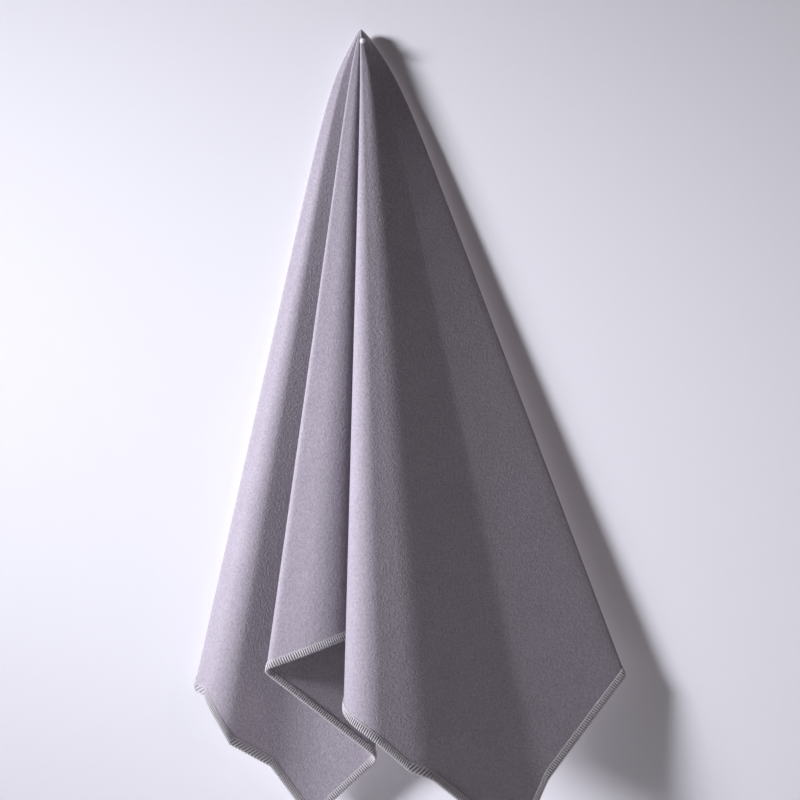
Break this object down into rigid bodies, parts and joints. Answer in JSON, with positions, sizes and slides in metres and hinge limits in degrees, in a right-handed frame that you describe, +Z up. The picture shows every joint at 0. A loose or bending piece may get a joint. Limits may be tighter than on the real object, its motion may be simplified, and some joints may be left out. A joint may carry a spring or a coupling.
{
  "type": "quick dry towel",
  "caption": "Thin suede-microfibre towel with overlocked edges, hanging in deep folds from a ball-headed pin through the middle of one long edge.",
  "frame": {"origin": "where the pin's axis meets the wall", "axes": "+Z up along the towel's drop, +Y along the pin into the wall, +X to the right as the towel is looked at"},
  "size_m": [0.3039, 0.1175, 0.5626],
  "materials": {
    "microfibre": "suede-brushed microfibre, matt with a soft nap",
    "overlock_thread": "textured polyester overlock thread",
    "pin_head_plastic": "pearl white",
    "pin_steel": "polished steel wire"
  },
  "bodies": {
    "pin": {"pin_head": "pin_head_plastic", "pin_needle": "pin_steel"},
    "towel": {"cloth": "microfibre", "left_end_edge_upper_looper": "overlock_thread", "left_end_edge_lower_looper": "overlock_thread", "left_end_edge_needle_thread": "overlock_thread", "bottom_edge_upper_looper": "overlock_thread", "bottom_edge_lower_looper": "overlock_thread", "bottom_edge_needle_thread": "overlock_thread", "right_end_edge_upper_looper": "overlock_thread", "right_end_edge_lower_looper": "overlock_thread", "right_end_edge_needle_thread": "overlock_thread", "top_edge_left_upper_looper": "overlock_thread", "top_edge_left_lower_looper": "overlock_thread", "top_edge_left_needle_thread": "overlock_thread", "top_edge_right_upper_looper": "overlock_thread", "top_edge_right_lower_looper": "overlock_thread", "top_edge_right_needle_thread": "overlock_thread"}
  },
  "joints": [
    {"name": "towel_swing", "type": "hinge", "parent": "pin", "child": "towel", "pos_m": [0, 0, 0], "axis": [0, 1, 0], "range_deg": [-20, 20]}
  ]
}
